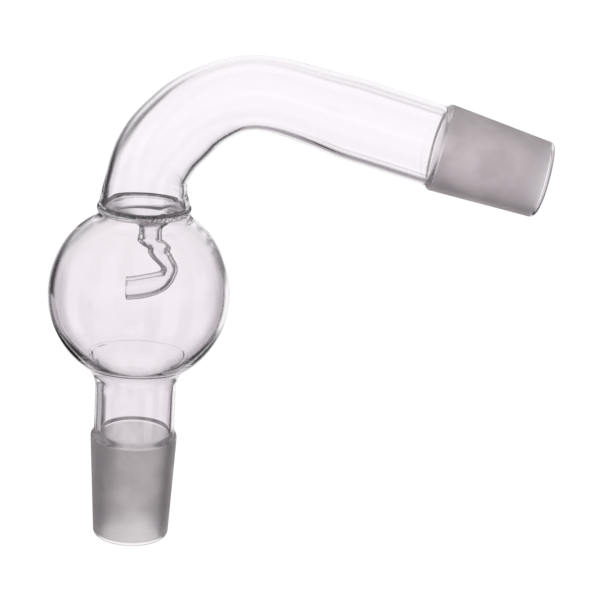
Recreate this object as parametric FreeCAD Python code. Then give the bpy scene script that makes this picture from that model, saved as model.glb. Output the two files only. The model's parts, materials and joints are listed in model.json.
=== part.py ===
import FreeCAD, Part
import math
import os

# Sloping splash head of clear borosilicate glass for a distillation flask, in millimetres.
# Vapour rises through the lower cone and stem into a blown bulb. A bent drip tube, hung from a
# funnel in the bulb's neck, holds the splashes back, and the vapour goes on through the bent
# tube and out of the side cone. A glassworker fuses the pieces end to end, so here they meet
# face to face. The origin is the centre of the lower cone's open end, +Z goes up the stem's
# axis, and the side arm lies in the XZ plane, towards +X.

# Ground cones: standard 1 in 10 taper, size 24/29, with a fire-polished rim below the ground part.
CONE_LARGE_D = 24.0
CONE_GROUND_LENGTH = 29.0
CONE_TAPER = 1.0 / 10.0
CONE_RIM = 0.5
CONE_MOUTH_D = 17.3
RIM_OUTER_ROUND = 1.3
RIM_INNER_ROUND = 0.5

# Lower stem: the clear tube between the cone and the bulb, with the shoulder above the cone.
STEM_D = 22.3
STEM_WALL = 1.5
SHOULDER_HEIGHT = 1.9

# Blown bulb, with the concave flares that run into the stem below and the neck above.
BULB_D = 49.8
BULB_WALL = 1.4
BULB_CENTRE_Z = 71.0
STEM_FLARE_OUTER_R = 5.5
STEM_FLARE_INNER_R = 7.0
NECK_D = 24.8
NECK_BORE_D = 21.8
NECK_FLARE_OUTER_R = 3.0
NECK_FLARE_INNER_R = 4.0

# Fused seals on the upright axis.
LOWER_SEAL_BOTTOM_Z = 46.6
LOWER_SEAL_TOP_Z = 49.3
RING_SEAL_Z = 95.5
RING_SEAL_HEIGHT = 2.0
RING_SEAL_D = 25.6

# Bent vapour tube: up from the ring seal, over in two bends, and down the arm to the side seal.
TUBE_WALL = 1.5
LEG_TOP_Z = 100.3
FIRST_BEND_R = 20.0
FIRST_BEND_TURN = 43.0
DIAGONAL_LENGTH = 10.4
SECOND_BEND_R = 24.2
ARM_SLOPE = 15.0
ARM_LENGTH = 39.8
FIRST_BEND_D = 21.7
APEX_D = 20.2
ARM_D = 22.2
ARM_FULL_SIZE_AT = 14.0
BEND_STATIONS = 4

# Fused seal between the arm and the side cone, thicker inside than the tubes it joins.
SIDE_SEAL_LENGTH = 4.2
SIDE_SEAL_BORE_D = 18.5

# Funnel that hangs from the ring seal, as (x, z, outer diameter) rings from the top down.
FUNNEL_WALL = 1.0
DRIP_TUBE_D = 6.3
FUNNEL_OUTLET = (2.3, 89.0)
FUNNEL_RINGS = [
    (0.0, 95.9, NECK_BORE_D),
    (0.0, 95.1, NECK_BORE_D),
    (0.6, 93.8, 16.6),
    (1.4, 92.2, 10.8),
    (2.1, 90.6, 7.0),
    (*FUNNEL_OUTLET, DRIP_TUBE_D),
]

# Bent drip tube below the funnel: the corners of its centreline in the XZ plane.
DRIP_TUBE_WALL = 1.0
DRIP_TUBE_BEND_R = 3.3
DRIP_TUBE_ROUTE = [
    FUNNEL_OUTLET,
    (2.3, 86.6),
    (5.2, 83.6),
    (7.4, 79.2),
    (6.2, 74.4),
    (-3.3, 72.4),
]

CONE_LENGTH = CONE_GROUND_LENGTH + CONE_RIM
CONE_LARGE_R = CONE_LARGE_D / 2
CONE_SMALL_R = CONE_LARGE_R - CONE_LENGTH * CONE_TAPER / 2
STEM_R = STEM_D / 2
STEM_BORE_R = STEM_R - STEM_WALL
BULB_R = BULB_D / 2
NECK_R = NECK_D / 2
NECK_BORE_R = NECK_BORE_D / 2
RING_BOTTOM_Z = RING_SEAL_Z - RING_SEAL_HEIGHT / 2
RING_TOP_Z = RING_SEAL_Z + RING_SEAL_HEIGHT / 2
UP = FreeCAD.Vector(0, 0, 1)
ORIGIN = FreeCAD.Vector(0, 0, 0)


def at(x, z):
    """A point in the XZ plane, where every outline and centreline lies."""
    return FreeCAD.Vector(x, 0, z)


def line(start, end):
    return Part.LineSegment(at(*start), at(*end)).toShape()


def arc(start, middle, end):
    return Part.Arc(at(*start), at(*middle), at(*end)).toShape()


def arc_round(start, centre, end):
    """The shorter arc from start to end round its centre."""
    middle = at(*start).add(at(*end)).multiply(0.5).sub(at(*centre)).normalize()
    crown = at(*centre).add(middle.multiply(at(*start).distanceToPoint(at(*centre))))
    return Part.Arc(at(*start), crown, at(*end)).toShape()


def turned(edges):
    """The solid of revolution about the Z axis of a closed outline."""
    return Part.Face(Part.Wire(edges)).revolve(ORIGIN, UP, 360)


def slab(shape, low, high):
    """The part of a shape between two heights."""
    block = Part.makeBox(4 * BULB_D, 4 * BULB_D, high - low, FreeCAD.Vector(-2 * BULB_D, -2 * BULB_D, low))
    return shape.common(block).Solids[0]


def cone():
    """A ground cone, open end down at z = 0, wide end up."""
    return turned([
        line((CONE_MOUTH_D / 2 + RIM_INNER_ROUND, 0), (CONE_SMALL_R - RIM_OUTER_ROUND, 0)),
        arc_round(
            (CONE_SMALL_R - RIM_OUTER_ROUND, 0),
            (CONE_SMALL_R - RIM_OUTER_ROUND, RIM_OUTER_ROUND),
            (CONE_SMALL_R, RIM_OUTER_ROUND),
        ),
        line((CONE_SMALL_R, RIM_OUTER_ROUND), (CONE_LARGE_R, CONE_LENGTH)),
        line((CONE_LARGE_R, CONE_LENGTH), (STEM_BORE_R, CONE_LENGTH)),
        line((STEM_BORE_R, CONE_LENGTH), (CONE_MOUTH_D / 2, RIM_INNER_ROUND)),
        arc_round(
            (CONE_MOUTH_D / 2, RIM_INNER_ROUND),
            (CONE_MOUTH_D / 2 + RIM_INNER_ROUND, RIM_INNER_ROUND),
            (CONE_MOUTH_D / 2 + RIM_INNER_ROUND, 0),
        ),
    ])


def shoulder(tube_r, cone_z, tube_z):
    """The rounded step between a cone's wide end and the tube beside it."""
    step = CONE_LARGE_R - tube_r
    round_r = (SHOULDER_HEIGHT ** 2 + step ** 2) / (2 * step)
    return arc_round((CONE_LARGE_R, cone_z), (CONE_LARGE_R - round_r, cone_z), (tube_r, tube_z))


def flare_centre(ball_r, tube_r, flare_r, side):
    """Centre of the concave arc between the bulb and a tube on its axis, above (1) or below (-1)."""
    across = tube_r + flare_r
    rise = math.sqrt((ball_r + flare_r) ** 2 - across ** 2)
    return (across, BULB_CENTRE_Z + side * rise)


def skin(tube_r, ball_r, neck_r, low_flare_r, high_flare_r, start):
    """Edges up one side of the glass: stem, flare, bulb, flare and neck, from the start point."""
    low = flare_centre(ball_r, tube_r, low_flare_r, -1)
    high = flare_centre(ball_r, neck_r, high_flare_r, 1)
    low_share = ball_r / (ball_r + low_flare_r)
    high_share = ball_r / (ball_r + high_flare_r)
    low_touch = (low[0] * low_share, BULB_CENTRE_Z + (low[1] - BULB_CENTRE_Z) * low_share)
    high_touch = (high[0] * high_share, BULB_CENTRE_Z + (high[1] - BULB_CENTRE_Z) * high_share)
    return [
        line(start, (tube_r, low[1])),
        arc_round((tube_r, low[1]), low, low_touch),
        arc(low_touch, (ball_r, BULB_CENTRE_Z), high_touch),
        arc_round(high_touch, high, (neck_r, high[1])),
        line((neck_r, high[1]), (neck_r, RING_BOTTOM_Z)),
    ]


def stem_and_bulb():
    """The glass between the lower cone and the ring seal, before it is parted at the seals."""
    outer = skin(
        STEM_R, BULB_R, NECK_R, STEM_FLARE_OUTER_R, NECK_FLARE_OUTER_R,
        (STEM_R, CONE_LENGTH + SHOULDER_HEIGHT),
    )
    inner = skin(
        STEM_BORE_R, BULB_R - BULB_WALL, NECK_BORE_R, STEM_FLARE_INNER_R, NECK_FLARE_INNER_R,
        (STEM_BORE_R, CONE_LENGTH),
    )
    foot = line((CONE_LARGE_R, CONE_LENGTH), (STEM_BORE_R, CONE_LENGTH))
    top = line((NECK_R, RING_BOTTOM_Z), (NECK_BORE_R, RING_BOTTOM_Z))
    step = shoulder(STEM_R, CONE_LENGTH, CONE_LENGTH + SHOULDER_HEIGHT)
    return turned([foot, step, *outer, top, *reversed(inner)])


def ring_seal():
    """The bead where the bulb's neck, the vapour tube and the funnel are fused together."""
    return turned([
        line((NECK_BORE_R, RING_BOTTOM_Z), (NECK_R, RING_BOTTOM_Z)),
        arc((NECK_R, RING_BOTTOM_Z), (RING_SEAL_D / 2, RING_SEAL_Z), (NECK_R, RING_TOP_Z)),
        line((NECK_R, RING_TOP_Z), (NECK_BORE_R, RING_TOP_Z)),
        line((NECK_BORE_R, RING_TOP_Z), (NECK_BORE_R, RING_BOTTOM_Z)),
    ])


def on_line(foot, heading):
    """Places a shape made upright at the origin on foot, pointing heading degrees above +X."""
    return FreeCAD.Placement(foot, FreeCAD.Rotation(FreeCAD.Vector(0, 1, 0), 90 - heading))


def ring(centre, heading, radius):
    """A circle square to a centreline."""
    circle = Part.Wire(Part.makeCircle(radius))
    circle.Placement = on_line(centre, heading)
    return circle


def funnel():
    """The thin funnel from the ring seal's bore in to the drip tube."""
    solids = []
    for wall in (0, FUNNEL_WALL):
        rings = [ring(at(x, z), 90, d / 2 - wall) for x, z, d in FUNNEL_RINGS]
        solids.append(Part.makeLoft(rings, True, True))
    return solids[0].cut(solids[1]).Solids[0]


def rounded_route(corners, bend_r):
    """A centreline of straight runs joined by tangent arcs of one radius."""
    edges = []
    here = at(*corners[0])
    for before, corner, after in zip(corners, corners[1:], corners[2:]):
        back = at(*before).sub(at(*corner)).normalize()
        ahead = at(*after).sub(at(*corner)).normalize()
        half_gap = back.getAngle(ahead) / 2
        setback = bend_r / math.tan(half_gap)
        start = at(*corner).add(FreeCAD.Vector(back).multiply(setback))
        end = at(*corner).add(FreeCAD.Vector(ahead).multiply(setback))
        inward = back.add(ahead).normalize()
        crown = at(*corner).add(inward.multiply(bend_r / math.sin(half_gap) - bend_r))
        edges.append(Part.LineSegment(here, start).toShape())
        edges.append(Part.Arc(start, crown, end).toShape())
        here = end
    edges.append(Part.LineSegment(here, at(*corners[-1])).toShape())
    return Part.Wire(edges)


def drip_tube():
    """The kinked tube under the funnel, open at both ends."""
    route = rounded_route(DRIP_TUBE_ROUTE, DRIP_TUBE_BEND_R)
    solids = []
    for wall in (0, DRIP_TUBE_WALL):
        mouth = ring(at(*FUNNEL_OUTLET), -90, DRIP_TUBE_D / 2 - wall)
        solids.append(route.makePipeShell([mouth], True, True))
    return solids[0].cut(solids[1]).Solids[0]


def along(start, heading, length):
    """The point a length on from start, where heading is degrees above the +X direction."""
    angle = math.radians(heading)
    return at(start.x + length * math.cos(angle), start.z + length * math.sin(angle))


def bend(start, heading, radius, turn, share):
    """Centre point and heading a share of the way round a bend towards +X."""
    hub = along(start, heading - 90, radius)
    angle = turn * share
    return along(hub, heading + 90 - angle, radius), heading - angle


def blend(low, high, share):
    """A value that eases from low to high as share goes from 0 to 1."""
    eased = min(max(share, 0), 1)
    return low + (high - low) * eased * eased * (3 - 2 * eased)


def tube_stations():
    """Centre, heading and outer radius of the vapour tube, from the ring seal to the arm's end."""
    steps = [(i + 1) / BEND_STATIONS for i in range(BEND_STATIONS)]
    leg_end = at(0, LEG_TOP_Z)
    stations = [(at(0, RING_TOP_Z), 90, NECK_R)]
    stations.append((at(0, (RING_TOP_Z + LEG_TOP_Z) / 2), 90, (NECK_R + FIRST_BEND_D / 2) / 2))
    stations.append((leg_end, 90, FIRST_BEND_D / 2))
    for share in steps:
        centre, heading = bend(leg_end, 90, FIRST_BEND_R, FIRST_BEND_TURN, share)
        stations.append((centre, heading, FIRST_BEND_D / 2))
    first_end = centre
    middle_heading = heading
    stations.append((along(first_end, heading, DIAGONAL_LENGTH / 2), heading, FIRST_BEND_D / 2))
    second_start = along(first_end, heading, DIAGONAL_LENGTH)
    for share in [0, *steps]:
        turn = middle_heading + ARM_SLOPE
        centre, heading = bend(second_start, middle_heading, SECOND_BEND_R, turn, share)
        stations.append((centre, heading, blend(FIRST_BEND_D, APEX_D, 2 * share) / 2))
    arm_start = centre
    for share in (1 / 3, 2 / 3, 1):
        centre = along(arm_start, -ARM_SLOPE, ARM_FULL_SIZE_AT * share)
        stations.append((centre, -ARM_SLOPE, blend(APEX_D, ARM_D, share) / 2))
    return stations, along(arm_start, -ARM_SLOPE, ARM_LENGTH)


def vapour_tube(stations, arm_end):
    """The bent tube: its bends run through circles, and the rest of its arm is straight."""
    straight_start, heading, radius = stations[-1]
    length = arm_end.distanceToPoint(straight_start)
    solids = []
    for wall in (0, TUBE_WALL):
        foot_r = NECK_BORE_R if wall else NECK_R
        rings = [ring(centre, turn, r - wall) for centre, turn, r in stations[1:]]
        bends = Part.makeLoft([ring(stations[0][0], 90, foot_r), *rings], True, False)
        arm = Part.makeCylinder(radius - wall, length)
        arm.Placement = on_line(straight_start, heading)
        solids.append(bends.fuse(arm))
    return solids[0].cut(solids[1]).Solids[0]


def side_seal(start):
    """The collar at the arm's end: the fused ring and the shoulder up to the side cone's wide end."""
    arm_r = ARM_D / 2
    bore_r = arm_r - TUBE_WALL
    step_z = SIDE_SEAL_LENGTH - SHOULDER_HEIGHT
    collar = turned([
        line((bore_r, 0), (arm_r, 0)),
        line((arm_r, 0), (arm_r, step_z)),
        shoulder(arm_r, SIDE_SEAL_LENGTH, step_z),
        line((CONE_LARGE_R, SIDE_SEAL_LENGTH), (STEM_BORE_R, SIDE_SEAL_LENGTH)),
        arc((STEM_BORE_R, SIDE_SEAL_LENGTH), (SIDE_SEAL_BORE_D / 2, SIDE_SEAL_LENGTH / 2), (bore_r, 0)),
    ])
    collar.Placement = on_line(start, -ARM_SLOPE)
    return collar


def side_cone(start):
    """The second ground cone, wide end on the side seal, open end facing out along the arm."""
    piece = cone()
    piece.Placement = on_line(along(start, -ARM_SLOPE, CONE_LENGTH), 180 - ARM_SLOPE)
    return piece


glass = stem_and_bulb()
stations, arm_end = tube_stations()

nodes = {
    "lower_cone": cone(),
    "lower_stem": slab(glass, CONE_LENGTH, LOWER_SEAL_BOTTOM_Z),
    "lower_seal": slab(glass, LOWER_SEAL_BOTTOM_Z, LOWER_SEAL_TOP_Z),
    "bulb": slab(glass, LOWER_SEAL_TOP_Z, RING_BOTTOM_Z),
    "ring_seal": ring_seal(),
    "drip_funnel": funnel(),
    "drip_tube": drip_tube(),
    "vapour_tube": vapour_tube(stations, arm_end),
    "side_seal": side_seal(arm_end),
    "side_cone": side_cone(along(arm_end, -ARM_SLOPE, SIDE_SEAL_LENGTH)),
}

os.makedirs("parts", exist_ok=True)
for name, shape in nodes.items():
    assert shape.isValid() and len(shape.Solids) == 1 and shape.Volume > 0, name
    shape.exportStep("parts/" + name + ".step")
    print(name, round(shape.Volume, 1), "mm3")
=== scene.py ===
import bpy
import json
import math
from mathutils import Matrix, Vector


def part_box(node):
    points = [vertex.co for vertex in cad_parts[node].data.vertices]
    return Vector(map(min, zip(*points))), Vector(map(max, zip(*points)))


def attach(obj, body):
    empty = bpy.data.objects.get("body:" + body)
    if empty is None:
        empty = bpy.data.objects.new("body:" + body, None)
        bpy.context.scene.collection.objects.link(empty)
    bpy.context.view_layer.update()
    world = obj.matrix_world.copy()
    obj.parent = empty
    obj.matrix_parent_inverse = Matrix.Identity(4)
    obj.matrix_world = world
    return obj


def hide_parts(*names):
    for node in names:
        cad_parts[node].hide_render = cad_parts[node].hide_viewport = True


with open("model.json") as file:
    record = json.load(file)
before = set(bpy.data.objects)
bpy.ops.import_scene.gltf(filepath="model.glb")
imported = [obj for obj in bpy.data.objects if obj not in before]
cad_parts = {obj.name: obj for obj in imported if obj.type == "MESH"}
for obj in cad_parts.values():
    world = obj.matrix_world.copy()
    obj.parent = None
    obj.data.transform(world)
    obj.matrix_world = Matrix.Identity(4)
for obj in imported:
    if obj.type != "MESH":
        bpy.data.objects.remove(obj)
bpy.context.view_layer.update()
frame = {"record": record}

# A sloping splash head in clear borosilicate glass. Every piece is a closed thin-walled solid, and
# where the glassworker fused two pieces their end faces meet and carry a finish that lets light
# straight through. Lengths below are millimetres; MM turns them into metres.
MM = 0.001
AROUND = 320
AROUND_SMALL = 120
STEP = 0.6
FINE_STEP = 0.3

# Heights, radii and directions that the frame gives.
CONE_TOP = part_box("lower_cone")[1].z / MM
CONE_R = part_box("lower_cone")[1].x / MM
SEAL_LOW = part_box("lower_stem")[1].z / MM
SEAL_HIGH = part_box("lower_seal")[1].z / MM
RING_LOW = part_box("bulb")[1].z / MM
RING_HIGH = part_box("ring_seal")[1].z / MM
SIDE = {m["name"]: m for m in frame["record"]["mounts"]}["side_cone"]
SIDE_MOUTH = Vector(SIDE["pos_m"]) / MM
ARM_DIRECTION = Vector(SIDE["axis"]).normalized()

# Cones.
CONE_TAPER = 0.05
SMALL_R = CONE_R - CONE_TOP * CONE_TAPER
MOUTH_R = 8.65
RIM_OUTER_ROUND = 1.3
RIM_INNER_ROUND = 0.5

# Stem and bulb. The bulb's wall thickens by the heel towards the stem, with a low lip on it.
STEM_R = 11.15
STEM_BORE_R = 9.65
STEM_SHOULDER = 2.2
BULB_R = 24.9
BULB_BORE_R = 23.5
BULB_Z = 71.0
LOW_FLARE_OUT = 9.0
LOW_FLARE_IN = 9.5
HEEL = 0.35
HEEL_FROM = (6, 19)
LIP_R = 13.5
LIP_HEIGHT = 0.34
LIP_WIDTH = 0.5
LIP_FADE = 3.0

# Neck and ring seal.
NECK_R = 12.4
NECK_BORE_R = 10.9
HIGH_FLARE_OUT = 3.0
HIGH_FLARE_IN = 4.0
RING_R = 12.8
RING_Z = (RING_LOW + RING_HIGH) / 2
CREASE_Z = 96.25
CREASE_HALF = (0.22, 0.48)

# Vapour tube and side seal.
TUBE_WALL = 1.48
BEND_WALL = 1.2
ARM_R = 11.1
SIDE_SEAL = 4.2
SIDE_SHOULDER = 1.3
# The bent tube's centreline above the ring seal, with its outer radius: (x, z, radius).
BENT_LINE = [
    (0.0, RING_HIGH, NECK_R),
    (0.1, 100.6, 11.5),
    (0.8, 105.6, 10.85),
    (2.5, 109.7, 10.85),
    (5.4, 114.3, 10.9),
    (9.4, 118.7, 10.95),
    (12.6, 121.9, 10.75),
    (16.9, 124.9, 10.5),
    (22.9, 127.8, 10.15),
    (28.8, 129.0, 10.05),
    (35.2, 128.6, 10.05),
    (41.4, 127.2, 10.2),
    (47.5, 125.5, 10.5),
]
ARM_FULL_SIZE_X = 55.0
ARM_STATION = 7.0
# The wall thins from the ring seal up, over this height, and is full again between these x.
WALL_THINS_OVER = 6.0
BEND_MIDDLE_X = 20.0
WALL_FULL_AGAIN = (30.0, 50.0)

# The funnel's two skins as (radius, height), and the drip tube's side walls as left and right
# points (x, z, x, z) in the plane of the arm, from the funnel down to the open end.
FUNNEL_TOP_Z = 96.0
FUNNEL_FOOT_Z = 94.9
FUNNEL_OUTLET_X = 2.3
FUNNEL_SHIFT_OVER = 5.0
FUNNEL_UNDER = [(NECK_BORE_R, FUNNEL_FOOT_Z), (9.3, 94.6), (7.6, 93.9), (5.9, 92.9), (4.5, 91.9),
                (3.5, 90.9), (3.0, 90.1), (2.95, 89.5)]
FUNNEL_OVER = [(NECK_BORE_R, FUNNEL_TOP_Z), (9.4, 95.7), (7.9, 95.1), (6.2, 94.1), (4.7, 93.1),
               (3.4, 92.0), (2.4, 90.8), (1.95, 89.5)]
DRIP_R = 3.15
DRIP_WALL = 1.0
DRIP_FULL_DEPTH = 0.6
DRIP_FULL_DEPTH_ROW = 20
DRIP_RIM = [(0.15, 0.14), (0.5, 0.2), (0.85, 0.14)]
DRIP_SIDES = [
    (-0.65, 89.5, 5.25, 89.5),
    (-0.6, 87.5, 5.3, 87.7),
    (-0.9, 86.2, 5.5, 86.5),
    (0.3, 85.1, 6.8, 85.6),
    (1.7, 84.3, 7.9, 84.7),
    (2.1, 82.9, 7.8, 83.3),
    (2.8, 81.8, 8.6, 82.2),
    (4.0, 80.7, 9.4, 81.0),
    (5.0, 79.7, 10.1, 79.7),
    (5.7, 78.9, 10.4, 78.2),
    (5.8, 78.3, 10.0, 76.6),
    (5.5, 77.8, 9.1, 74.7),
    (4.7, 77.4, 7.5, 72.7),
    (3.3, 77.0, 5.0, 71.1),
    (0.6, 76.3, 1.6, 69.9),
    (-1.6, 75.8, -1.0, 69.4),
    (-3.5, 75.5, -3.2, 69.1),
]

# What the glassworker's hand left: the neck leans, the bulb is full and rippled on the arm's side
# of the neck, and the stem's bore is off centre. Each pair says where it comes in or goes.
NECK_LEAN = 0.65
LEAN_IN = (88, 96)
LEAN_OUT = (102, 120)
SHOULDER_FULL = 0.95
FULL_IN = (79, 91)
FULL_OUT = (92.2, 94.8)
FULL_ACROSS = (-4, 13)
RIPPLE_HEIGHT = 0.03
RIPPLE_LENGTH = 2.8
RIPPLE_IN = (83, 87)
BORE_OFFSET = 0.2
BORE_OFFSET_IN = (5, 25)
BORE_OFFSET_OUT = (47, 50)
SKIN_LEFT_ALONE = 0.3


# ---------------------------------------------------------------- finishes

class Value:
    """A shader socket that Python's arithmetic works on."""

    def __init__(self, finish, socket):
        self.finish = finish
        self.socket = socket

    def math(self, operation, *values):
        return self.finish.node("ShaderNodeMath", {"operation": operation}, *values)[0]

    def __add__(self, other):
        return self.math("ADD", self, other)

    def __sub__(self, other):
        return self.math("SUBTRACT", self, other)

    def __mul__(self, other):
        return self.math("MULTIPLY", self, other)

    def __truediv__(self, other):
        return self.math("DIVIDE", self, other)

    def __abs__(self):
        return self.math("ABSOLUTE", self)


class Finish:
    """The node tree of one material or of the studio's light."""

    def __init__(self, tree):
        self.tree = tree
        tree.nodes.clear()

    def node(self, kind, settings=None, *values, **named):
        """Adds a node: its settings first, then its sockets, and gives back its outputs."""
        node = self.tree.nodes.new(kind)
        for key, value in (settings or {}).items():
            if key == "stops":
                self.ramp(node, value)
            else:
                setattr(node, key, value)
        for key, value in [*enumerate(values), *named.items()]:
            socket = node.inputs[key if isinstance(key, int) else key.replace("_", " ")]
            if isinstance(value, Value):
                self.tree.links.new(value.socket, socket)
            elif value is not None:
                socket.default_value = (*value, 1) if socket.type == "RGBA" else value
        return [Value(self, socket) for socket in node.outputs]

    def ramp(self, node, stops):
        elements = node.color_ramp.elements
        while len(elements) < len(stops):
            elements.new(0.5)
        for element, (place, shade) in zip(elements, stops):
            element.position = place
            element.color = (*shade, 1)

    def smooth(self, value, low, high, start=0.0, end=1.0):
        """Eases from start to end as the value goes from low to high."""
        settings = {"interpolation_type": "SMOOTHSTEP"}
        return self.node("ShaderNodeMapRange", settings, value, low, high, start, end)[0]

    def mix(self, share, first, second):
        """A colour between two colours. The node's sockets for plain numbers stay unused."""
        unused = [None] * 5
        return self.node("ShaderNodeMix", {"data_type": "RGBA"}, share, *unused, first, second)[2]

    def surface(self, shader):
        self.node("ShaderNodeOutputMaterial", None, shader)


def new_finish(name):
    material = bpy.data.materials.new(name)
    material.use_nodes = True
    return material, Finish(material.node_tree)


GLASS_IOR = 1.473
TUBE_TINT = (0.982, 0.958, 0.982)
BULB_TINT = (0.935, 0.902, 0.93)
# Painted shade: the colour the glass darkens to where a wall is seen edge on.
PAINTED_EDGE_SHADE = (0.40, 0.35, 0.40)
# Painted shade: a near-black band in the glass's colour round the ring seal's crease.
CREASE_SHADE = (0.05, 0.045, 0.05)
DRIP_TINT = (0.99, 0.98, 0.99)
# Painted shade: the drip tube's colour where its wall is seen edge on.
DRIP_PAINTED_EDGE_SHADE = (0.10, 0.09, 0.10)
# Painted shade: how dark the line of the bore is painted in the walls of the arm.
ARM_BORE_SHADE = 0.45
# Where one look turns into the next: heights for the tint, x for the arm's painted bore line.
TINT_TURNS = (80, 104)
ARM_STARTS = (28, 60)


def tint_and_crease_shade(f, height):
    """The glass's mauve cast, deeper in the bulb and stem, with a dark band of painted shade round
    the ring seal's crease.
    """
    tint = f.mix(f.smooth(height, *TINT_TURNS), BULB_TINT, TUBE_TINT)
    # Painted shade: the dark band at the crease.
    return f.mix(f.smooth(abs(height - CREASE_Z), *CREASE_HALF), CREASE_SHADE, tint)


def clear_glass(name, edge_shade_colour=PAINTED_EDGE_SHADE, edge_from=0.78, edge_to=0.98, drip=False, bore=0.0):
    """
    Fire-polished glass, with painted shade where the wall is seen edge on: its colour darkens there
    in place of the dark surroundings seen through its edges. The bore's share paints a dark line of
    shade along the bore in the walls of the arm.
    """
    material, f = new_finish(name)
    facing = f.node("ShaderNodeLayerWeight", None, 0.5)[1]
    # Painted shade: the colour darkens as the wall turns edge on.
    edge = f.smooth(facing, 0.40, 0.60) * 0.15 + f.smooth(facing, edge_from, edge_to) * 0.85
    position = f.node("ShaderNodeNewGeometry")[0]
    x, y, height = [v / MM for v in f.node("ShaderNodeSeparateXYZ", None, position)]
    # Painted shade: a dark line where the bore shows in the arm's walls, fading in along the arm.
    bore_line_shade = f.smooth(facing, 0.44, 0.50) * f.smooth(facing, 0.60, 0.53)
    edge = edge + bore_line_shade * f.smooth(x, *ARM_STARTS) * bore
    tint = DRIP_TINT if drip else tint_and_crease_shade(f, height)
    shader = f.node(
        "ShaderNodeBsdfPrincipled", None, f.mix(edge, tint, edge_shade_colour),
        Roughness=0.0, IOR=GLASS_IOR, Transmission_Weight=1.0,
    )[0]
    f.surface(shader)
    return material


def ground_glass(name, mouth, axis, dark, pale):
    """Glass ground to a matt taper: cloudy, with fine rings from the grinding near its open end,
    where painted shade darkens it too.
    """
    material, f = new_finish(name)
    position = f.node("ShaderNodeNewGeometry")[0]
    inward = f.node("ShaderNodeVectorMath", {"operation": "SUBTRACT"}, position, mouth * MM)[0]
    along = f.node("ShaderNodeVectorMath", {"operation": "DOT_PRODUCT"}, inward, -axis)[1] / MM
    cloud = f.node("ShaderNodeTexNoise", None, position, Scale=130.0, Detail=3.0, Roughness=0.55)[0]
    grain = f.node("ShaderNodeTexNoise", None, position, Scale=2200.0, Detail=2.0)[0]
    wander = f.node("ShaderNodeTexNoise", None, position, Scale=60.0, Detail=1.0)[0]
    across = f.node("ShaderNodeCombineXYZ", None, 0.0, 0.0, along * 5 + wander * 3)[0]
    rings = f.node("ShaderNodeTexNoise", None, across, Scale=1.0, Detail=3.0)[0]
    # Near the open end painted shade darkens the colour, and the grinding's rings show paler on it.
    near_mouth = f.smooth(along, 10.0, 2.0)
    grind_rings_and_shade = f.smooth(rings, 0.50, 0.60) * 1.8 - 1.3
    shade = f.smooth(cloud, 0.35, 0.68) + near_mouth * grind_rings_and_shade
    bump = f.node("ShaderNodeBump", None, 0.25, 0.00002, Height=grain)[0]
    shader = f.node(
        "ShaderNodeBsdfPrincipled", None, f.mix(shade, dark, pale), Normal=bump,
        Roughness=f.smooth(cloud, 0.3, 0.7, 0.50, 0.42), IOR=GLASS_IOR, Transmission_Weight=1.0,
    )[0]
    f.surface(shader)
    return material


def fused_seam():
    """The face where two pieces are fused: nothing to see, so light goes straight on."""
    material, f = new_finish("fused_seam")
    f.surface(f.node("ShaderNodeBsdfPrincipled", None, (1, 1, 1), Alpha=0.0)[0])
    return material


CLEAR = clear_glass("clear_glass", bore=ARM_BORE_SHADE)
BULB = clear_glass("bulb_glass", edge_from=0.70)
DRIP = clear_glass("drip_glass", DRIP_PAINTED_EDGE_SHADE, 0.28, 0.72, drip=True)
SEAM = fused_seam()
LOWER_GROUND = ground_glass("ground_lower_cone", Vector((0, 0, 0)), Vector((0, 0, -1)),
                            (0.475, 0.452, 0.455), (0.615, 0.588, 0.588))
SIDE_GROUND = ground_glass("ground_side_cone", SIDE_MOUTH, ARM_DIRECTION,
                           (0.50, 0.452, 0.468), (0.65, 0.592, 0.608))


# ---------------------------------------------------------------- shaping

def ease(share):
    share = min(max(share, 0.0), 1.0)
    return share * share * (3 - 2 * share)


def rise(value, span):
    """Eases from 0 to 1 as the value crosses a span."""
    low, high = span
    return ease((value - low) / (high - low))


def hand_worked(p):
    """Moves a point the little that the glassworker's hand left it off the drawing."""
    q = p.copy()
    lean = rise(p.z, LEAN_IN) * (1 - rise(p.z, LEAN_OUT))
    full = rise(p.z, FULL_IN) * (1 - rise(p.z, FULL_OUT)) * rise(p.x, FULL_ACROSS)
    ripple = math.sin(p.z * 2 * math.pi / RIPPLE_LENGTH) * rise(p.z, RIPPLE_IN)
    in_stem = rise(p.z, BORE_OFFSET_IN) * (1 - rise(p.z, BORE_OFFSET_OUT))
    in_stem *= ease(STEM_R - SKIN_LEFT_ALONE - math.hypot(p.x, p.y))
    q.x += NECK_LEAN * lean + full * (SHOULDER_FULL + RIPPLE_HEIGHT * ripple)
    q.x += BORE_OFFSET * in_stem
    return q


def arc_points(centre, radius, start, end, count):
    """Points (r, z) on an arc, angles in degrees from the +r direction."""
    angles = [math.radians(start + (end - start) * i / count) for i in range(count + 1)]
    return [(centre[0] + radius * math.cos(a), centre[1] + radius * math.sin(a)) for a in angles]


def finely(points, step=STEP):
    """The same outline with points at most a step apart."""
    out = [points[0]]
    for a, b in zip(points, points[1:]):
        count = max(1, math.ceil(math.dist(a, b) / step))
        out += [tuple(m + (n - m) * i / count for m, n in zip(a, b)) for i in range(1, count + 1)]
    return out


def spline(a, b, c, d, t):
    """The value between b and c on a smooth curve through a, b, c and d."""
    return b + 0.5 * t * (c - a + t * (2 * a - 5 * b + 4 * c - d + t * (3 * (b - c) + d - a)))


def flowing(points, count=8):
    """A smooth curve through points, with count steps between each two."""
    before = [2 * a - b for a, b in zip(points[0], points[1])]
    after = [2 * a - b for a, b in zip(points[-1], points[-2])]
    ends = [before, *points, after]
    out = []
    for i in range(len(points) - 1):
        for k in range(count):
            out.append(tuple(spline(*values, k / count) for values in zip(*ends[i:i + 4])))
    return [*out, points[-1]]


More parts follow.
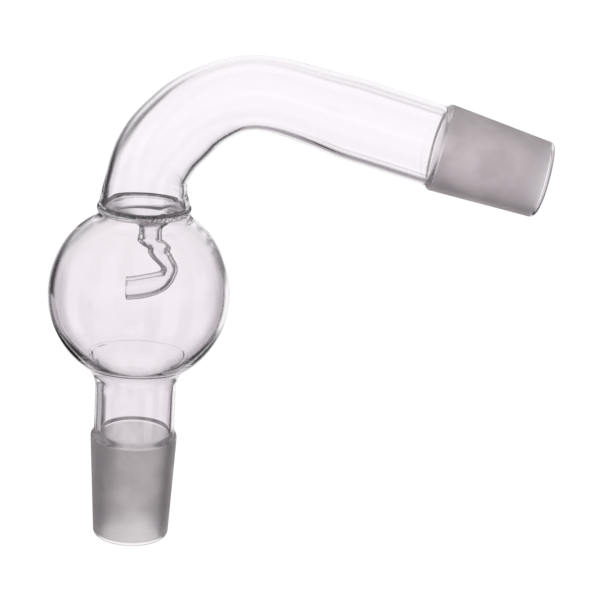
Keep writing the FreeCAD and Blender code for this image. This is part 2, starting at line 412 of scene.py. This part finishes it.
def closed_skin(name, runs, place, around=AROUND):
    """
    Builds a thin-walled closed piece from runs of (finish, points). The runs follow each other
    round the wall's section, and place(point, angle) puts a section point in space.
    """
    section = [(point, finish) for finish, points in runs for point in points[:-1]]
    vertices = []
    for point, _ in section:
        for k in range(around):
            vertices.append(hand_worked(place(point, 2 * math.pi * k / around)) * MM)
    faces = []
    for i in range(len(section)):
        j = (i + 1) % len(section)
        for k in range(around):
            m = (k + 1) % around
            faces.append((i * around + k, i * around + m, j * around + m, j * around + k))
    mesh = bpy.data.meshes.new(name)
    mesh.from_pydata(vertices, [], faces)
    finishes = list(dict.fromkeys(finish for finish, points in runs))
    for finish in finishes:
        mesh.materials.append(finish)
    for i, polygon in enumerate(mesh.polygons):
        polygon.material_index = finishes.index(section[i // around][1])
        polygon.use_smooth = True
    mesh.update()
    if mesh_volume(mesh) < 0:
        mesh.flip_normals()
    mark_seam_edges(mesh, finishes.index(SEAM))
    piece = bpy.data.objects.new(name, mesh)
    bpy.context.scene.collection.objects.link(piece)
    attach(piece, "root")
    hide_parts(name)


def mesh_volume(mesh):
    """Six times the volume inside the faces, negative where they are inside out."""
    total = 0.0
    for polygon in mesh.polygons:
        a, b, c, d = [mesh.vertices[i].co for i in polygon.vertices]
        total += a.dot(b.cross(c)) + a.dot(c.cross(d))
    return total


def mark_seam_edges(mesh, seam):
    """Keeps the shading of the walls apart from that of the fused faces."""
    sides = {}
    for polygon in mesh.polygons:
        for key in polygon.edge_keys:
            sides.setdefault(key, set()).add(polygon.material_index == seam)
    for edge in mesh.edges:
        edge.use_edge_sharp = len(sides[edge.key]) > 1


def upright(point, angle):
    r, z = point
    return Vector((r * math.cos(angle), r * math.sin(angle), z))


def on_arm(point, angle):
    """Section points on the side cone's axis: z runs from its open end back along the arm."""
    r, z = point
    across = Vector((-ARM_DIRECTION.z, 0, ARM_DIRECTION.x))
    return (SIDE_MOUTH - ARM_DIRECTION * z + across * (r * math.cos(angle))
            + Vector((0, r * math.sin(angle), 0)))


def walls(name, outer, inner, place=upright, finish=CLEAR):
    """A piece between two skins, both given from its low end to its high end."""
    runs = [
        (finish, outer),
        (SEAM, [outer[-1], inner[-1]]),
        (finish, inner[::-1]),
        (SEAM, [inner[0], outer[0]]),
    ]
    closed_skin(name, runs, place)


# ---------------------------------------------------------------- cones, stem and bulb

def cone(name, ground, place):
    """A cone with its open end at z = 0 and its taper in the ground finish given."""
    outer_corner = (SMALL_R - RIM_OUTER_ROUND, RIM_OUTER_ROUND)
    inner_corner = (MOUTH_R + RIM_INNER_ROUND, RIM_INNER_ROUND)
    rim = arc_points(outer_corner, RIM_OUTER_ROUND, 0, -90, 8)
    rim += arc_points(inner_corner, RIM_INNER_ROUND, -90, -180, 6)
    runs = [
        (ground, finely([(CONE_R, CONE_TOP), (SMALL_R, RIM_OUTER_ROUND)])),
        (CLEAR, rim),
        (CLEAR, finely([rim[-1], (STEM_BORE_R, CONE_TOP)])),
        (SEAM, [(STEM_BORE_R, CONE_TOP), (CONE_R, CONE_TOP)]),
    ]
    closed_skin(name, runs, place)


def shoulder(tube_r, height, count=14):
    """Section points of the eased step from a cone's wide end in to the tube above it."""
    return [(CONE_R - (CONE_R - tube_r) * ease(i / count), CONE_TOP + height * i / count)
            for i in range(count + 1)]


def wall_line(tube_r, ball_r, neck_r, low_flare, high_flare):
    """Section points of one skin of the glass from the stem, round the bulb, to the neck."""
    low_z = BULB_Z - math.sqrt((ball_r + low_flare) ** 2 - (tube_r + low_flare) ** 2)
    high_z = BULB_Z + math.sqrt((ball_r + high_flare) ** 2 - (neck_r + high_flare) ** 2)
    low_turn = math.degrees(math.acos((tube_r + low_flare) / (ball_r + low_flare)))
    high_turn = math.degrees(math.acos((neck_r + high_flare) / (ball_r + high_flare)))
    flare = arc_points((tube_r + low_flare, low_z), low_flare, 180, 180 - low_turn, 14)
    ball = arc_points((0, BULB_Z), ball_r, -low_turn, high_turn, 130)
    neck = arc_points((neck_r + high_flare, high_z), high_flare, 180 + high_turn, 180, 12)
    return flare + ball[1:] + neck[1:]


def part_between(points, low, high):
    """The stretch of a rising section between two heights, cut exactly there."""
    out = []
    for a, b in zip(points, points[1:]):
        for cut in (low, high):
            if a[1] < cut < b[1]:
                share = (cut - a[1]) / (b[1] - a[1])
                out.append((a[0] + (b[0] - a[0]) * share, cut))
        if low <= b[1] <= high:
            out.append(b)
    if low <= points[0][1] <= high:
        out.insert(0, points[0])
    return sorted(out, key=lambda p: p[1])


def lipped(point):
    """Thickens the bulb's wall towards the stem, with a low lip round the stem's mouth."""
    r, z = point
    reach = math.hypot(r, BULB_Z - z)
    if z > BULB_Z:
        return point
    lift = HEEL * rise(BULB_Z - z, HEEL_FROM)
    lift += LIP_HEIGHT * math.exp(-((r - LIP_R) / LIP_WIDTH) ** 2)
    lift *= ease((r - STEM_BORE_R) / LIP_FADE)
    return (r - lift * r / reach, z + lift * (BULB_Z - z) / reach)


def stem_and_bulb():
    """Stem, lower seal and bulb, parted at the seals."""
    outer = wall_line(STEM_R, BULB_R, NECK_R, LOW_FLARE_OUT, HIGH_FLARE_OUT)
    inner = wall_line(STEM_BORE_R, BULB_BORE_R, NECK_BORE_R, LOW_FLARE_IN, HIGH_FLARE_IN)
    outer = finely([*shoulder(STEM_R, STEM_SHOULDER), *outer, (NECK_R, RING_LOW)])
    inner = finely([(STEM_BORE_R, CONE_TOP), *inner, (NECK_BORE_R, RING_LOW)], FINE_STEP)
    inner = [lipped(p) for p in inner]
    levels = [
        ("lower_stem", CONE_TOP, SEAL_LOW, CLEAR),
        ("lower_seal", SEAL_LOW, SEAL_HIGH, BULB),
        ("bulb", SEAL_HIGH, RING_LOW, BULB),
    ]
    for name, low, high, finish in levels:
        skins = [part_between(skin, low, high) for skin in (outer, inner)]
        walls(name, *skins, finish=finish)


cone("lower_cone", LOWER_GROUND, upright)
stem_and_bulb()


# ---------------------------------------------------------------- ring seal, funnel and drip tube

def ring_seal():
    height = RING_HIGH - RING_LOW
    bulge = RING_R - NECK_R
    radius = (height ** 2 / 4 + bulge ** 2) / (2 * bulge)
    half = math.degrees(math.asin(height / 2 / radius))
    bead = arc_points((RING_R - radius, RING_Z), radius, -half, half, 12)
    bore = [(NECK_BORE_R, z) for z in (RING_HIGH, FUNNEL_TOP_Z, FUNNEL_FOOT_Z, RING_LOW)]
    runs = [
        (BULB, bead),
        (SEAM, [bead[-1], bore[0]]),
        (BULB, bore[0:2]),
        (SEAM, bore[1:3]),
        (BULB, bore[2:4]),
        (SEAM, [bore[3], bead[0]]),
    ]
    closed_skin("ring_seal", runs, upright)


def funnel_point(point, angle):
    r, z = point
    shift = FUNNEL_OUTLET_X * ease((RING_Z - z) / FUNNEL_SHIFT_OVER)
    return Vector((shift + r * math.cos(angle), r * math.sin(angle), z))


def drip_funnel():
    under = flowing(FUNNEL_UNDER)
    over = flowing(FUNNEL_OVER)
    runs = [
        (DRIP, over),
        (SEAM, [over[-1], under[-1]]),
        (DRIP, under[::-1]),
        (SEAM, [under[0], over[0]]),
    ]
    closed_skin("drip_funnel", runs, funnel_point, around=AROUND_SMALL)


def drip_tube():
    """The tube's section points are (inset from its skin, row), rows counted along its sides."""
    sides = flowing(DRIP_SIDES, 10)
    last = len(sides) - 1

    def place(point, angle):
        inset, row = point
        beyond = max(row - last, 0)
        low_x, low_z, high_x, high_z = sides[min(int(row), last)]
        low, high = Vector((low_x, 0, low_z)), Vector((high_x, 0, high_z))
        centre = (low + high) / 2 - Vector((beyond, 0, 0))
        half = (high - low).length / 2
        depth = half + (DRIP_R - half) * DRIP_FULL_DEPTH * ease(row / DRIP_FULL_DEPTH_ROW)
        across = (high - low).normalized()
        return (centre + across * ((half - inset) * math.cos(angle))
                + Vector((0, (depth - inset) * math.sin(angle), 0)))

    outer = [(0.0, row) for row in range(last + 1)]
    inner = [(DRIP_WALL, row) for row in range(last + 1)]
    rim = [(share * DRIP_WALL, last + bulge) for share, bulge in DRIP_RIM]
    runs = [
        (DRIP, outer),
        (DRIP, [outer[-1], *rim, inner[-1]]),
        (DRIP, inner[::-1]),
        (SEAM, [inner[0], outer[0]]),
    ]
    closed_skin("drip_tube", runs, place, around=AROUND_SMALL)


ring_seal()
drip_funnel()
drip_tube()


# ---------------------------------------------------------------- vapour tube and side cone

def vapour_tube():
    """The tube's section points are (share of the wall, row), rows counted along its line."""
    end = SIDE_MOUTH - ARM_DIRECTION * (CONE_TOP + SIDE_SEAL)
    fall = -ARM_DIRECTION.z / ARM_DIRECTION.x
    stations = [*[ARM_FULL_SIZE_X + i * ARM_STATION for i in range(3)], end.x]
    arm = [(x, end.z + (end.x - x) * fall, ARM_R) for x in stations]
    line = flowing([*BENT_LINE, *arm], 14)
    last = len(line) - 1

    def heading_at(row):
        if row == 0:
            return Vector((0, 0, 1))
        if row == last:
            return ARM_DIRECTION
        before, after = line[row - 1], line[row + 1]
        return Vector((after[0] - before[0], 0, after[1] - before[1])).normalized()

    def place(point, angle):
        share, row = point
        x, z, radius = line[row]
        heading = heading_at(row)
        over = Vector((-heading.z, 0, heading.x))
        full = 1 - ease((z - RING_HIGH) / WALL_THINS_OVER)
        if x >= BEND_MIDDLE_X:
            full = rise(x, WALL_FULL_AGAIN)
        reach = radius - (BEND_WALL + (TUBE_WALL - BEND_WALL) * full) * share
        return (Vector((x, 0, z)) + over * (reach * math.cos(angle))
                + Vector((0, reach * math.sin(angle), 0)))

    outer = [(0.0, row) for row in range(last + 1)]
    inner = [(1.0, row) for row in range(last + 1)]
    walls("vapour_tube", outer, inner, place)


def side_seal():
    end = CONE_TOP + SIDE_SEAL
    outer = finely([*shoulder(ARM_R, SIDE_SHOULDER), (ARM_R, end)])
    inner = finely([(STEM_BORE_R, CONE_TOP), (ARM_R - TUBE_WALL, end)])
    walls("side_seal", outer, inner, on_arm)


vapour_tube()
side_seal()
cone("side_cone", SIDE_GROUND, on_arm)


# ---------------------------------------------------------------- studio

# The panels: from and to, in degrees anticlockwise from +X, and their brightness.
PANELS = [(0, 28, 0.6), (28, 57, 0.05), (57, 113, 1.03), (113, 124.5, 0.05), (124.5, 147, 0.62),
          (147, 168, 0.08), (168, 192, 0.85), (192, 213, 0.08), (213, 282, 0.6), (282, 303, 0.08),
          (303, 327, 0.85), (327, 348, 0.08), (348, 360, 0.6)]
PANEL_EDGE = 2.0
PANEL_MAUVE = 0.15
# Darker patches of the ring: how dark, from and to in degrees, and the heights where each fades in.
PATCH_EDGE = 2.0
PATCHES = [
    (1.0, 109, 124.5, -0.30, -0.40),
    (0.8, 23, 74, -0.42, -0.52),
    (1.0, 113, 148, -0.30, -0.27),
    (0.9, 101, 115, -0.22, -0.12),
    (0.8, 58, 79, -0.25, -0.15),
]
DARK = (0.05, 0.045, 0.05)
FLOOR_LEVEL = (0.42, 0.40, 0.42)
NADIR_LEVEL = (0.8, 0.8, 0.8)
WHITE = (1, 1, 1)
FLOOR_Z = -6000.0
FLOOR_SIZE = 80000.0
STUDIO_CENTRE = (0.02, 0, 0.075)


def panel_stops():
    """Ramp stops for the ring of panels round the studio, a faint mauve where they are darker."""
    stops = []
    for start, end, level in PANELS:
        shade = (level, level - PANEL_MAUVE * level * (1 - min(level, 1)), level)
        stops += [((start + PANEL_EDGE) / 360, shade), ((end - PANEL_EDGE) / 360, shade)]
    return stops


def light_from(f, direction):
    """The studio's light: a ring of pale and dark panels, a grey floor and a white ceiling."""
    x, y, z = f.node("ShaderNodeSeparateXYZ", None, direction)
    turn = f.node("ShaderNodeMath", {"operation": "ARCTAN2"}, y, x)[0] / (2 * math.pi)
    turn = f.node("ShaderNodeMath", {"operation": "FRACT"}, turn + 1.0)[0]
    panels = f.node("ShaderNodeValToRGB", {"stops": panel_stops()}, turn)[0]
    degrees = turn * 360
    for share, start, end, low, high in PATCHES:
        patch = f.smooth(degrees, start - PATCH_EDGE, start + PATCH_EDGE)
        patch = patch * f.smooth(degrees, end + PATCH_EDGE, end - PATCH_EDGE)
        panels = f.mix(patch * f.smooth(z, low, high) * share, panels, DARK)
    shade = f.mix(f.smooth(z, -0.66, -0.56), FLOOR_LEVEL, WHITE)
    ring = f.node("ShaderNodeVectorMath", {"operation": "MULTIPLY"}, panels, shade)[0]
    ring = f.mix(f.smooth(z, -0.92, -0.97), ring, NADIR_LEVEL)
    return f.mix(f.smooth(z, -0.12, 0.25), ring, WHITE)


def studio_world():
    world = bpy.data.worlds.new("studio")
    world.use_nodes = True
    f = Finish(world.node_tree)
    direction = f.node("ShaderNodeTexCoord")[0]
    background = f.node("ShaderNodeBackground", None, light_from(f, direction), 1.0)[0]
    f.node("ShaderNodeOutputWorld", None, background)
    bpy.context.scene.world = world


def studio_floor():
    half = FLOOR_SIZE / 2
    corners = [(-half, -half), (half, -half), (half, half), (-half, half)]
    mesh = bpy.data.meshes.new("floor")
    mesh.from_pydata([Vector((x, y, FLOOR_Z)) * MM for x, y in corners], [], [(0, 1, 2, 3)])
    floor = bpy.data.objects.new("floor", mesh)
    bpy.context.scene.collection.objects.link(floor)
    # The floor takes no light: it glows with the studio's light as seen from the studio's centre.
    material, f = new_finish("floor_glow")
    position = f.node("ShaderNodeNewGeometry")[0]
    away = f.node("ShaderNodeVectorMath", {"operation": "SUBTRACT"}, position, STUDIO_CENTRE)[0]
    direction = f.node("ShaderNodeVectorMath", {"operation": "NORMALIZE"}, away)[0]
    f.surface(f.node("ShaderNodeEmission", None, light_from(f, direction), 1.0)[0])
    mesh.materials.append(material)


studio_world()
studio_floor()


# ---------------------------------------------------------------- camera

CAMERA_ELEVATION = 18.09
CAMERA_ROLL = 3.26
CAMERA_DISTANCE = 692.67
CAMERA_TARGET = Vector((44.12, 0, 71.76))
CAMERA_LENS = 152.0
SENSOR = 36.0
NEAREST = 0.01
FARTHEST = 100.0
GLASS_BOUNCES = 32
GLOSS_BOUNCES = 16


def camera():
    data = bpy.data.cameras.new("camera")
    data.lens = CAMERA_LENS
    data.sensor_width = SENSOR
    data.clip_start = NEAREST
    data.clip_end = FARTHEST
    holder = bpy.data.objects.new("camera", data)
    tilt = math.radians(CAMERA_ELEVATION)
    back = Vector((0, -math.cos(tilt), math.sin(tilt)))
    holder.location = (CAMERA_TARGET + back * CAMERA_DISTANCE) * MM
    turn = (-back).to_track_quat("-Z", "Y").to_matrix().to_4x4()
    roll = Matrix.Rotation(math.radians(CAMERA_ROLL), 4, "Z")
    holder.rotation_mode = "QUATERNION"
    holder.rotation_quaternion = (turn @ roll).to_quaternion()
    bpy.context.scene.collection.objects.link(holder)
    bpy.context.scene.camera = holder


camera()
scene = bpy.context.scene
scene.view_settings.view_transform = "Standard"
scene.cycles.max_bounces = GLASS_BOUNCES
scene.cycles.transmission_bounces = GLASS_BOUNCES
scene.cycles.transparent_max_bounces = GLASS_BOUNCES
scene.cycles.glossy_bounces = GLOSS_BOUNCES
